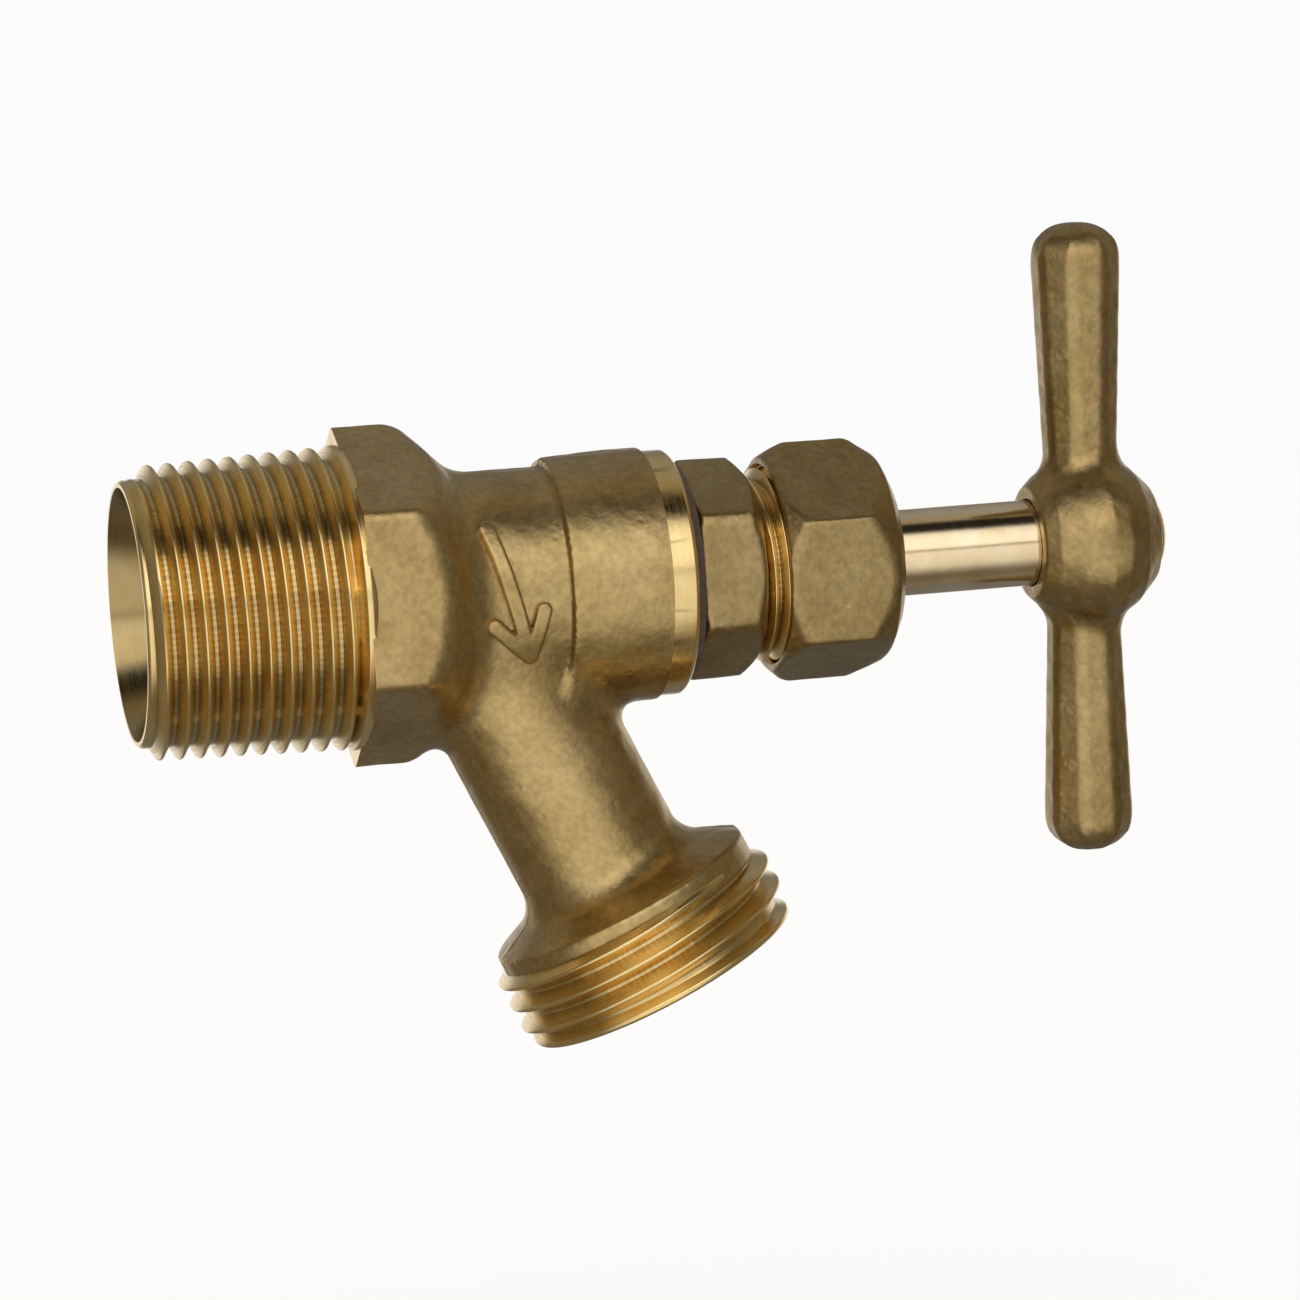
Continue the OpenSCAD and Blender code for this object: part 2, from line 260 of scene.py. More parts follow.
def softened(outline, radius):
    """An outline of (x, r) points with each inner corner cut by a small arc of three points."""
    soft = [outline[0]]
    for before, corner, after in zip(outline, outline[1:], outline[2:]):
        corner = Vector(corner)
        back, on = Vector(before) - corner, Vector(after) - corner
        reach = min(radius, back.length / 2.1, on.length / 2.1)
        start, end = corner + back.normalized() * reach, corner + on.normalized() * reach
        soft += [tuple(start), tuple(corner / 2 + (start + end) / 4), tuple(end)]
    return soft + [outline[-1]]


def lathe(name, outline, material, place=Matrix.Identity(4), bevel=MACHINED_BEVEL):
    """A closed solid turned about X from (x, r) points in order of their place along the outside."""
    outline = softened(outline, bevel) if bevel else list(outline)
    angles = 2 * np.pi * np.arange(ROUND_SEGMENTS) / ROUND_SEGMENTS
    points = [(x, r * math.cos(a), r * math.sin(a)) for x, r in outline for a in angles]
    n = ROUND_SEGMENTS
    faces = [(k * n + i, k * n + (i + 1) % n, (k + 1) * n + (i + 1) % n, (k + 1) * n + i)
             for k in range(len(outline) - 1) for i in range(n)]
    faces += [tuple(range(n - 1, -1, -1)), tuple((len(outline) - 1) * n + i for i in range(n))]
    return make_object(name, points, faces, material, place)


def ridge(name, start, end, pitch, section, radius_at, material, place=Matrix.Identity(4), phase=0, fade=0.3,
          columns=96, ceiling=lambda x: 99):
    """A right-handed screw ridge about X. section lists (dx, height) above radius_at(x), under ceiling(x)."""
    steps = round((end - start) / pitch * columns)
    points = []
    for k in range(steps + 1):
        angle = 2 * math.pi * k / columns + phase
        middle = start + pitch * k / columns
        lift = min(1, min(k, steps - k) / (fade * columns)) if fade else 1
        for dx, height in section:
            x = middle + dx
            r = min(radius_at(x) + (height * lift if height > 0 else height), ceiling(x))
            points.append((x, r * math.cos(angle), r * math.sin(angle)))
    m = len(section)
    faces = [(k * m + j, (k + 1) * m + j, (k + 1) * m + (j + 1) % m, k * m + (j + 1) % m)
             for k in range(steps) for j in range(m)]
    faces += [tuple(range(m)), tuple(steps * m + j for j in range(m - 1, -1, -1))]
    return make_object(name, points, faces, material, place)


def thread_section(pitch, depth, crest):
    """A 60 degree thread's section with slightly broken crest corners; its flanks run on into the core."""
    slope = math.tan(math.radians(30))
    half = crest / 2 + depth * slope
    sink = 0.85 * (pitch / 2 - half) / slope
    foot = half + sink * slope
    broken = 0.06
    return [(-foot, -sink), (-crest / 2 - broken * slope, depth - broken), (-crest / 2 + broken, depth),
            (crest / 2 - broken, depth), (crest / 2 + broken * slope, depth - broken), (foot, -sink)]


def block(name, low, high, material):
    """A closed box, used to cut square holes and slots."""
    points = [(x, y, z) for x in (low[0], high[0]) for y in (low[1], high[1]) for z in (low[2], high[2])]
    faces = [(0, 1, 3, 2), (4, 6, 7, 5), (0, 4, 5, 1), (2, 3, 7, 6), (0, 2, 6, 4), (1, 5, 7, 3)]
    return make_object(name, points, faces, material)


def bake(obj):
    """Put an object's modifiers into its mesh."""
    bpy.context.view_layer.update()
    depsgraph = bpy.context.evaluated_depsgraph_get()
    result = bpy.data.meshes.new_from_object(obj.evaluated_get(depsgraph))
    obj.modifiers.clear()
    old = obj.data
    obj.data = result
    bpy.data.meshes.remove(old)


def combine(target, tool, operation):
    """Join a solid to the target or cut it away, keeping each face's material."""
    modifier = target.modifiers.new("combine", "BOOLEAN")
    modifier.operation = operation
    modifier.solver = "MANIFOLD"
    modifier.material_mode = "TRANSFER"
    modifier.object = tool
    bake(target)
    bpy.data.objects.remove(tool)
    return target


def join(target, *tools):
    for tool in tools:
        combine(target, tool, "UNION")
    return target


def cut(target, *tools):
    for tool in tools:
        combine(target, tool, "DIFFERENCE")
    return target


def finish_piece(obj, name, body, slot, *nodes, crease=35):
    """Name a piece, shade it, put it on its body and let it stand for its CAD nodes."""
    obj.name = name
    for polygon in obj.data.polygons:
        polygon.use_smooth = True
    obj.data.set_sharp_from_angle(angle=math.radians(crease))
    modifier = obj.modifiers.new("weighted", "WEIGHTED_NORMAL")
    modifier.keep_sharp = True
    bake(obj)
    obj.data.name = name
    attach(obj, body)
    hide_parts(*nodes)
    return obj


# ---------------------------------------------------------------- materials

def add_ramp(tree, output, stops):
    """Map a value through stops of (position, colour or grey)."""
    node = tree.nodes.new("ShaderNodeValToRGB")
    elements = node.color_ramp.elements
    while len(elements) < len(stops):
        elements.new(0.5)
    for element, (position, colour) in zip(elements, stops):
        element.position = position
        grey = isinstance(colour, (int, float))
        element.color = (colour, colour, colour, 1) if grey else (*colour, 1)
    tree.links.new(output, node.inputs["Fac"])
    return node.outputs["Color"]


def add_mix(tree, mode, factor, a, b):
    """Blend two colours. The factor is a number or another node's output."""
    node = tree.nodes.new("ShaderNodeMix")
    node.data_type = "RGBA"
    node.blend_type = mode
    if isinstance(factor, (int, float)):
        node.inputs[0].default_value = factor
    else:
        tree.links.new(factor, node.inputs[0])
    tree.links.new(a, node.inputs[6])
    tree.links.new(b, node.inputs[7])
    return node.outputs[2]


class Shader:
    """A Principled material and the few node patterns that the finishes share."""

    def __init__(self, name, **sockets):
        self.material = bpy.data.materials.new(name)
        self.material.use_nodes = True
        self.tree = self.material.node_tree
        self.bsdf = self.tree.nodes["Principled BSDF"]
        for socket, value in sockets.items():
            self.bsdf.inputs[socket.replace("_", " ")].default_value = value
        self.place = self.tree.nodes.new("ShaderNodeTexCoord").outputs["Object"]

    def link(self, output, node_input):
        self.tree.links.new(output, node_input)

    def mapped(self, scale, tilt=0):
        """Object coordinates in millimetres times scale, tilted about Y."""
        node = self.tree.nodes.new("ShaderNodeMapping")
        turned = self.place
        if tilt:
            turn = self.tree.nodes.new("ShaderNodeMapping")
            turn.inputs["Rotation"].default_value = (0, tilt, 0)
            self.link(turned, turn.inputs["Vector"])
            turned = turn.outputs["Vector"]
        node.inputs["Scale"].default_value = [s / MM for s in scale]
        self.link(turned, node.inputs["Vector"])
        return node.outputs["Vector"]

    def noise(self, scale, detail=3, roughness=0.5, tilt=0):
        node = self.tree.nodes.new("ShaderNodeTexNoise")
        node.inputs["Scale"].default_value = 1
        node.inputs["Detail"].default_value = detail
        node.inputs["Roughness"].default_value = roughness
        self.link(self.mapped(scale, tilt), node.inputs["Vector"])
        return node.outputs["Fac"]

    def pits(self, scale, width):
        """Small round pits: 0 in a pit and 1 between them."""
        node = self.tree.nodes.new("ShaderNodeTexVoronoi")
        node.inputs["Scale"].default_value = 1
        self.link(self.mapped(scale), node.inputs["Vector"])
        return self.ramp(node.outputs["Distance"], [(0, 0), (width, 1)])

    def ramp(self, output, stops):
        return add_ramp(self.tree, output, stops)

    def mix(self, mode, factor, a, b):
        return add_mix(self.tree, mode, factor, a, b)

    def bump(self, output, height):
        """Stack a bump of the given height in millimetres on the ones before it."""
        node = self.tree.nodes.new("ShaderNodeBump")
        node.inputs["Strength"].default_value = 1.0
        node.inputs["Distance"].default_value = height * MM
        self.link(output, node.inputs["Height"])
        normal = self.bsdf.inputs["Normal"]
        if normal.links:
            self.link(normal.links[0].from_socket, node.inputs["Normal"])
        self.link(node.outputs["Normal"], normal)

    def edges(self):
        """Geometry's pointiness: dark in corners, light on edges."""
        return self.tree.nodes.new("ShaderNodeNewGeometry").outputs["Pointiness"]


def tinted(tone, colour):
    return tuple(tone * channel for channel in colour)


def cast_brass(name, tone):
    """Cast and tumbled brass: satin, olive gold, grainy, with painted shade in the hollows and rubbed edges.
    """
    s = Shader(name, Metallic=1.0)
    blotch = s.ramp(s.noise((0.16, 0.16, 0.16), detail=4, roughness=0.6),
                    [(0.3, tinted(tone, (0.49, 0.335, 0.135))), (0.5, tinted(tone, (0.58, 0.415, 0.180))),
                     (0.7, tinted(tone, (0.65, 0.480, 0.225)))])
    speckle = s.ramp(s.noise((1.6, 1.6, 1.6), detail=3), [(0.35, 0.82), (0.62, 1.0)])
    colour = s.mix("MULTIPLY", 1.0, blotch, speckle)
    # Painted shade: the colour is darkened in hollows and corners, where pointiness is low.
    hollow = s.ramp(s.edges(), [(0.44, 0.55), (0.5, 1.0)])
    colour = s.mix("MULTIPLY", 0.8, colour, hollow)
    rubbed = s.ramp(s.edges(), [(0.55, 0.0), (0.68, 0.8)])
    bright = s.ramp(s.noise((0.9, 0.9, 0.9)), [(0.3, (0.62, 0.46, 0.22)), (0.7, (0.74, 0.57, 0.30))])
    s.link(s.mix("MIX", rubbed, colour, bright), s.bsdf.inputs["Base Color"])
    s.link(s.ramp(s.noise((0.7, 0.7, 0.7), detail=4), [(0.3, 0.30), (0.7, 0.42)]), s.bsdf.inputs["Roughness"])
    s.bump(s.noise((0.45, 0.45, 0.45), detail=2), 0.05)
    s.bump(s.noise((2.2, 2.2, 2.2), detail=4, roughness=0.6), 0.03)
    s.bump(s.pits((0.55, 0.55, 0.55), 0.22), 0.02)
    return s.material


def turned_brass(name, tilt=0, low=0.16, high=0.30, pale=0.0, tone=1.0, grooves=0.004, hollow_shade=0.30):
    """Freshly turned brass: bright, with fine tool lines round its axis and painted shade in its hollows. The
    bores have a lower tone, which is painted shade.
    """
    s = Shader(name, Metallic=1.0)
    deep = tinted(tone, (0.84, 0.59 + 0.08 * pale, 0.24 + 0.20 * pale))
    light = tinted(tone, (0.93, 0.72 + 0.08 * pale, 0.36 + 0.24 * pale))
    colour = s.ramp(s.noise((0.3, 0.3, 0.3), detail=3), [(0.3, deep), (0.7, light)])
    # Painted shade: the colour is darkened in hollows and corners, where pointiness is low.
    hollow = s.ramp(s.edges(), [(0.42, hollow_shade), (0.5, 1.0)])
    s.link(s.mix("MULTIPLY", 1.0, colour, hollow), s.bsdf.inputs["Base Color"])
    lines = s.noise((9, 0.05, 0.05), detail=3, roughness=0.7, tilt=tilt)
    s.link(s.ramp(lines, [(0.3, low), (0.7, high)]), s.bsdf.inputs["Roughness"])
    s.bump(lines, grooves)
    s.bump(s.noise((0.8, 0.8, 0.8), detail=2), 0.01)
    return s.material


def dark_solid(name, colours, roughness, grain, height):
    """Fibre, graphite or rubber: dull, with a fine grain."""
    s = Shader(name, Metallic=0.0)
    texture = s.noise((grain, grain, grain), detail=4, roughness=0.6)
    s.link(s.ramp(texture, [(0.3, colours[0]), (0.7, colours[1])]), s.bsdf.inputs["Base Color"])
    s.link(s.ramp(texture, [(0.3, roughness - 0.08), (0.7, roughness + 0.08)]), s.bsdf.inputs["Roughness"])
    s.bump(texture, height)
    return s.material


CAST = cast_brass("cast_body", 1.0)
CAST_NUT = cast_brass("cast_nut", 0.75)
CAST_HANDLE = cast_brass("cast_handle", 0.86)
TURNED = turned_brass("turned_brass")
TURNED_SPOUT = turned_brass("turned_brass_spout", tilt=-(math.pi / 2 - SPOUT_ANGLE), hollow_shade=0.55)
# Painted shade: the bores are the same turned brass at half its tone, for the shade inside them.
BORE_SHADED = turned_brass("bore_painted_shade", tone=0.5)
BORE_SPOUT_SHADED = turned_brass("bore_spout_painted_shade", tilt=-(math.pi / 2 - SPOUT_ANGLE), tone=0.5)
POLISHED = turned_brass("polished_stem", low=0.10, high=0.20, pale=0.8, tone=1.05, grooves=0.0006, hollow_shade=1.0)
FIBRE = dark_solid("fibre_gasket", ((0.045, 0.026, 0.018), (0.085, 0.050, 0.036)), 0.75, 1.2, 0.05)
GRAPHITE = dark_solid("graphite_packing", ((0.035, 0.035, 0.038), (0.075, 0.075, 0.08)), 0.5, 0.9, 0.08)
RUBBER = dark_solid("washer_rubber", ((0.012, 0.012, 0.012), (0.03, 0.03, 0.03)), 0.6, 0.6, 0.03)


# ---------------------------------------------------------------- the body

ARROW_TAIL, ARROW_TIP = np.array((31.0, 5.6)), np.array((34.2, -6.4))
ARROW_HALF = 0.72
ARROW_HEIGHT = 0.6


def arrow_field(x, y, z):
    """A raised flow arrow that points down the neck towards the spout, on the side facing -Y."""
    r = np.hypot(y, z)
    along = NECK_R * np.arctan2(z, -y)
    line = (ARROW_TIP - ARROW_TAIL) / np.hypot(*(ARROW_TIP - ARROW_TAIL))
    across = np.array((-line[1], line[0]))
    ends = [ARROW_TAIL] + [ARROW_TIP - 3.9 * line + side * 2.3 * across for side in (-1, 1)]
    stroke = np.full(x.shape, 1e9)
    u, v = x - ARROW_TIP[0], along - ARROW_TIP[1]
    for end in ends:
        step = end - ARROW_TIP
        t = np.clip((u * step[0] + v * step[1]) / (step @ step), 0, 1)
        stroke = np.minimum(stroke, np.hypot(u - t * step[0], v - t * step[1]))
    top = r - NECK_R - ARROW_HEIGHT
    return np.maximum(meet(stroke - ARROW_HALF, top, 0.3), NECK_R - 0.6 - r)


def body_field(x, y, z):
    r = np.hypot(y, z)
    corner = HEX_HALF / math.cos(math.pi / 6)
    slope = (x + r - HEX_END - corner) / math.sqrt(2)
    hexagonal = meet(hexagon(y, z, HEX_HALF, HEX_ROUND), slope, 0.9)
    hexagonal = np.maximum(hexagonal, INLET_LEN - 0.8 - x)
    neck = np.maximum(r - NECK_R, np.abs(x - 32) - 10)
    barrel = outline_field(x, r, [(BARREL_X + 0.5, BARREL_R - 0.6), (BARREL_X + 4, BARREL_R - 0.38),
                                  (BARREL_END - 4, BARREL_R - 0.3), (BARREL_END + 1, BARREL_R - 0.3)]) - 0.3
    shape = blend(blend(hexagonal, neck, 1.2), barrel, 0.4)

    c, s = math.sin(SPOUT_ANGLE), -math.cos(SPOUT_ANGLE)
    t = (x - SPOUT_X) * c + z * s
    radial = np.hypot(y, (x - SPOUT_X) * -s + z * c)
    spout = np.maximum(radial - SPOUT_R, np.maximum(-t, t - SHOULDER_T - 1))
    flare = outline_field(t, radial, [(SHOULDER_T - 0.2, SPOUT_R - 1), (HOSE_T - 0.9, 12.0),
                                      (HOSE_T + 0.9, 12.0)]) - 0.4
    spout = blend(spout, flare, 1.8)
    shape = blend(shape, spout, 2.3)
    parting = 0.07 * np.exp(-(y / 0.4) ** 2)
    return shape - parting - unevenness(x, y, z, 0.02)


def inlet_end():
    """The tapered pipe thread on its core, with the turned collar that meets the hexagon."""
    def root(x):
        return INLET_CREST + INLET_TAPER * x - INLET_DEPTH

    core = lathe("core", [(0, root(0) - 0.25), (0.25, root(0)), (INLET_LEN - 0.9, root(INLET_LEN)),
                          (INLET_LEN - 0.3, COLLAR_R), (INLET_LEN + 0.25, COLLAR_R),
                          (INLET_LEN + 1.0, HEX_HALF - 0.3), (INLET_LEN + 1.0, 10)], TURNED)
    section = thread_section(INLET_PITCH, INLET_DEPTH, 0.24)
    thread = ridge("thread", 0.9, INLET_LEN + 0.2, INLET_PITCH, section, root, TURNED, phase=INLET_PHASE,
                   fade=0.1, columns=128, ceiling=lambda x: MOUTH_R + 0.75 * x)
    return join(core, thread)


def hose_end():
    """The hose thread on its core, along the spout."""
    core = lathe("core", [(HOSE_T - 2.2, 8), (HOSE_T - 0.9, HOSE_ROOT + 0.15), (HOSE_T, HOSE_ROOT),
                          (HOSE_END - 1.1, HOSE_ROOT), (HOSE_END - 0.55, HOSE_RIM),
                          (HOSE_END - 0.15, HOSE_RIM), (HOSE_END, HOSE_RIM - 0.15)],
                 TURNED_SPOUT, SPOUT_FRAME)
    section = thread_section(HOSE_PITCH, HOSE_R - HOSE_ROOT, 0.3)
    thread = ridge("thread", HOSE_T + 0.25, HOSE_END - 1.3, HOSE_PITCH, section, lambda t: HOSE_ROOT,
                   TURNED_SPOUT, SPOUT_FRAME, phase=2.2, fade=0.2, columns=128)
    return join(core, thread)


def body_cutters():
    """The machined waterways, the chamber with its seat, the joint thread's bore, and the turned band."""
    # Painted shade: the inlet and spout waterways are cut with the darker bore material.
    inlet = lathe("inlet", [(-1, 11.6), (-0.01, 11.3), (4, INLET_BORE), (20.5, INLET_BORE), (23.5, SEAT_BORE),
                            (SEAT_X + 1, SEAT_BORE)], BORE_SHADED)
    joint_r = JOINT_CREST + 0.15
    chamber = cut(lathe("chamber", [(CHAMBER_X, CHAMBER_R), (CHAMBER_END, CHAMBER_R),
                                    (CHAMBER_END + 0.3, joint_r),
                                    (BARREL_END + 1, joint_r)], TURNED),
                  lathe("lip", [(CHAMBER_X - 1, 7.0), (SEAT_X, 7.0), (SEAT_X, 5.0)], TURNED))
    waterway = lathe("waterway", [(SPOUT_BORE_START, SPOUT_BORE), (SHOULDER_T + 1, SPOUT_BORE),
                                  (SHOULDER_T + 4, WASHER_R), (HOSE_END - 0.3, WASHER_R),
                                  (HOSE_END + 0.2, WASHER_R + 0.4), (HOSE_END + 1, WASHER_R + 0.4)],
                     BORE_SPOUT_SHADED, SPOUT_FRAME)
    band = cut(lathe("band", [(BAND_X, 11), (BAND_X, 14), (BARREL_END + 2, 14)], TURNED),
               lathe("inner", [(BAND_X - 1, BAND_R), (BARREL_END - 0.35, BAND_R), (BARREL_END, BAND_R - 0.3),
                               (BARREL_END, 3)], TURNED))
    return inlet, chamber, waterway, band


def valve_body():
    low = (INLET_LEN - 1.6, BODY_LOW[1] - 0.6, BODY_LOW[2] - 0.6)
    high = BODY_HIGH + 0.6
    body = make_object("casting", *skin(body_field, low, high, BODY_CELL), CAST)
    cut(body, lathe("face", [(INLET_LEN - 2, 20), (INLET_LEN, 20), (INLET_LEN, 1)], TURNED, bevel=0))
    low = (ARROW_TAIL[0] - 1.5, -NECK_R - 0.9, ARROW_TIP[1] - 1.5)
    high = (ARROW_TIP[0] + 3.2, -NECK_R + 3.4, ARROW_TAIL[1] + 1.5)
    arrow = make_object("arrow", *skin(arrow_field, low, high, ARROW_CELL), CAST)
    join(body, arrow, inlet_end(), hose_end())
    cut(body, *body_cutters())
    return finish_piece(body, "body_casting", "housing", "cast_brass", "valve_body")


# ---------------------------------------------------------------- bonnet and packing nut

def bonnet_field(x, y, z):
    r = np.hypot(y, z)
    shape = outline_field(x, r, [(BONNET_X + 0.25, 9.4), (BONNET_X + 0.6, 9.85),
                                 (BONNET_HEX_END - 1.15, 9.75), (BONNET_HEX_END - 0.2, 8.6)]) - 0.2
    return meet(hexagon(y, z, BONNET_HALF, 0.35), shape, 0.3) - unevenness(x, y, z, 0.012)


def bonnet():
    """The bonnet's hexagon between its two threads, bored for the stem."""
    low = (BONNET_X - 0.5, -11, -11)
    high = (BONNET_HEX_END + 0.5, 11, 11)
    part = make_object("bonnet", *skin(bonnet_field, low, high, HEX_CELL), CAST_NUT)
    joint_root, nut_root = JOINT_CREST - FINE_DEPTH, NUT_CREST - FINE_DEPTH
    section = thread_section(FINE_PITCH, FINE_DEPTH, 0.16)
    lower = lathe("lower", [(BONNET_BOTTOM, joint_root - 0.5), (BONNET_BOTTOM + 0.5, joint_root),
                            (BONNET_X + 1, joint_root)], TURNED)
    upper = lathe("upper", [(BONNET_HEX_END - 1, nut_root), (BONNET_TOP - 0.4, nut_root),
                            (BONNET_TOP, nut_root - 0.4)], TURNED)
    join(lower, ridge("thread", BONNET_BOTTOM + 1.1, BONNET_BOTTOM + 5.9, FINE_PITCH, section,
                      lambda x: joint_root, TURNED))
    join(upper, ridge("thread", BONNET_HEX_END + 0.25, BONNET_HEX_END + 8.9, FINE_PITCH, section,
                      lambda x: nut_root, TURNED, phase=1.2))
    join(part, lower, upper)
    bore = SCREW_ROOT + 0.2
    relief = SCREW_CREST + 0.5
    relief_x, relief_end = SCREW_END + 0.6, SCREW_END + 1.8
    stem_hole = STEM_R + 0.08
    width = 0.775 + 0.15
    height = SCREW_CREST - bore + 0.35
    groove = ridge("groove", SCREW_X - 2 * SCREW_PITCH, SCREW_END + 1.6, SCREW_PITCH,
                   [(-width - 0.08, -0.4), (-width + 0.48, height),
                    (width - 0.48, height), (width + 0.08, -0.4)],
                   lambda x: bore, TURNED, fade=0, columns=64)
    bored = lathe("bore", [(BONNET_BOTTOM - 0.5, SCREW_CREST + 0.9), (BONNET_BOTTOM, SCREW_CREST + 0.8),
                           (BONNET_BOTTOM + 1.6, bore), (relief_x, bore), (relief_x, relief),
                           (relief_end, relief), (relief_end, stem_hole), (PACKING_X, stem_hole),
                           (PACKING_X, PACKING_R), (BONNET_TOP + 1, PACKING_R)], TURNED, bevel=0)
    cut(part, bored, groove)
    return finish_piece(part, "bonnet_casting", "housing", "cast_brass", "bonnet")


def nut_field(x, y, z):
    c, s = math.cos(NUT_TURN), math.sin(NUT_TURN)
    y, z = y * c + z * s, z * c - y * s
    r = np.hypot(y, z)
    corner = NUT_HALF / math.cos(math.pi / 6)
    turned = outline_field(x, r, [(NUT_X + 0.2, 9.6), (NUT_X + 1.3, 10.6), (NUT_X + 2.1, corner),
                                  (NUT_FLAT_END - 1.3, corner), (NUT_FLAT_END - 0.1, 10.3),
                                  (NUT_FLAT_END + 1.3, 9.4), (NUT_FLAT_END + 2.2, 7.7),
                                  (NUT_END - 0.2, 6)]) - 0.2
    return meet(hexagon(y, z, NUT_HALF, 0.45), turned, 0.4) - unevenness(x, y, z, 0.015)


def packing_nut():
    """The packing nut, hollow below for the bonnet's thread and the gland."""
    low, high = (NUT_X - 0.5, -12, -12), (NUT_END + 0.5, 12, 12)
    part = make_object("nut", *skin(nut_field, low, high, HEX_CELL), CAST_NUT)
    bore, hole = NUT_CREST + 0.1, STEM_R + 0.35
    cut(part,
        lathe("bore", [(NUT_X - 1, bore + 0.5), (NUT_X - 0.01, bore + 0.3), (NUT_X + 0.6, bore),
                       (GLAND_TOP, bore), (GLAND_TOP, 5)], TURNED),
        lathe("hole", [(66, hole), (NUT_END - 0.3, hole), (NUT_END + 0.3, hole + 0.55),
                       (NUT_END + 1, hole + 0.55)], TURNED))
    return finish_piece(part, "packing_nut_casting", "housing", "cast_brass", "packing_nut")


# ---------------------------------------------------------------- stem and handle

def stem():
    """The polished stem with its swivel knob, coarse thread, square tang and riveted head."""
    part = lathe("stem", [(SWIVEL_X, 2.5), (SWIVEL_X + 0.4, 2.9), (SWIVEL_X + 1.8, 2.9),
                          (SWIVEL_X + 1.8, 2.1),
                          (SCREW_X - 0.2, 2.1), (SCREW_X - 0.2, SCREW_ROOT), (SCREW_END, SCREW_ROOT),
                          (SCREW_END + 0.5, STEM_R), (HUB_X + 2.2, STEM_R), (HUB_X + 2.2, 1)], POLISHED)
    depth = SCREW_CREST - SCREW_ROOT
    thread = ridge("thread", SCREW_X + 0.8, SCREW_END - 0.8, SCREW_PITCH,
                   [(-0.855, -0.2), (-0.775, 0), (-0.375, depth), (0.375, depth), (0.775, 0), (0.855, -0.2)],
                   lambda x: SCREW_ROOT, POLISHED, phase=2 * math.pi * 0.8 / SCREW_PITCH, fade=0.25)
    tang = block("tang", (HUB_X + 2, -TANG_HALF, -TANG_HALF), (HUB_END + 0.1, TANG_HALF, TANG_HALF), POLISHED)
    head = lathe("head", [(HUB_END, 3.2), (HUB_END + 0.1, 3.4), (HUB_END + 0.5, 3.4), (STEM_END - 0.2, 2.8),
                          (STEM_END, 2.2)], TURNED)
    join(part, thread, tang, head)
    return finish_piece(part, "stem_turned", "spindle", "stem_brass", "stem")


def handle_field(x, y, z):
    c, s = math.cos(HANDLE_TURN), math.sin(HANDLE_TURN)
    y, z = y * c + z * s, z * c - y * s
    r = np.hypot(y, z)
    hub = outline_field(x, r, [(HUB_X + 0.5, 4.9), (HUB_X + 1.5, 5.8), (HUB_X + 3.8, 7.1), (HUB_X + 5.8, 7.6),
                               (HUB_X + 7.4, 7.3), (HUB_X + 9.3, 6.1), (HUB_END - 0.5, 4.4)]) - 0.5
    reach = np.abs(z)
    straight = HANDLE_REACH - ARM_TIP
    half = ARM_ROOT + (ARM_TIP - ARM_ROOT) * np.minimum(reach / straight, 1)
    across = np.abs(x - ARM_X)
    deep = np.abs(y) / 0.96
    arm = meet(meet(across - half, deep - half, 0.4), (across + deep) / math.sqrt(2) - half * 1.01, 0.5)
    arm = meet(arm, reach - HANDLE_REACH, 3.4)
    shape = blend(hub, arm, 1.5)
    shape = meet(shape, np.abs(y) - 7.75, 0.3)
    return shape - unevenness(x, y, z, 0.02)


def handle():
    """The T handle casting on its square hole."""
    low, high = HANDLE_LOW - 0.6, HANDLE_HIGH + 0.6
    part = make_object("handle", *skin(handle_field, low, high, HANDLE_CELL), CAST_HANDLE)
    hole, recess = TANG_HALF + 0.05, STEM_R + 0.12
    cut(part,
        # Painted shade: the recess round the stem is cut with the darker bore material.
        lathe("recess", [(HUB_X - 1, recess), (HUB_X + 2.2, recess), (HUB_X + 2.2, 1)], BORE_SHADED, bevel=0),
        block("hole", (HUB_X + 2, -hole, -hole), (HUB_END + 1, hole, hole), TURNED))
    return finish_piece(part, "handle_casting", "spindle", "cast_brass", "handle")


def finish_inside():
    """Finishes on the CAD nodes that are shown as they are."""
    finishes = {"bonnet_gasket": FIBRE, "packing_washer": TURNED, "packing_ring_inner": GRAPHITE,
                "packing_ring_outer": GRAPHITE, "packing_gland": TURNED, "disc_holder": TURNED,
                "seat_washer": RUBBER, "washer_screw": TURNED}
    for node, material in finishes.items():
        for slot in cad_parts[node].material_slots:
            slot.material = material


# ---------------------------------------------------------------- floor, light and camera

FOCUS = Vector((0.046, 0, -0.006))
VIEW_AZIMUTH = math.radians(-13.525)
VIEW_ELEVATION = math.radians(3.213)
VIEW_ROLL = math.radians(4.005)
VIEW_DISTANCE = 0.45
VIEW_LENS, VIEW_SENSOR = 137.5, 36
VIEW_SHIFT = (0.01062, -0.00726)
FLOOR_Z = -0.085
FLOOR_R, FLOOR_SIDES = 3.0, 96

# The studio: brightness by elevation in degrees, and the side that the soft light comes from.
KEY_AZIMUTH = math.radians(-15)
BACKDROP = 0.965
SOFT_LIGHT = [(-64, 0.0), (-52, 0.35), (-40, 0.70), (-1, 0.76), (0.5, 0.3), (5.5, 0.3), (7, 0.98), (44, 1.15),
              (53, 0.0)]
NEAR_SIDE = [(-70, 0.14), (15, 0.14), (45, 0.06), (54, 0.01), (70, 0.01), (80, 0.26)]
FAR_SIDE = [(-70, 0.17), (-15, 0.17), (15, 0.18), (55, 0.30), (80, 0.28)]
BEHIND = [(-22, 0.17), (-13, BACKDROP), (9, BACKDROP), (16, 0.18), (55, 0.30)]


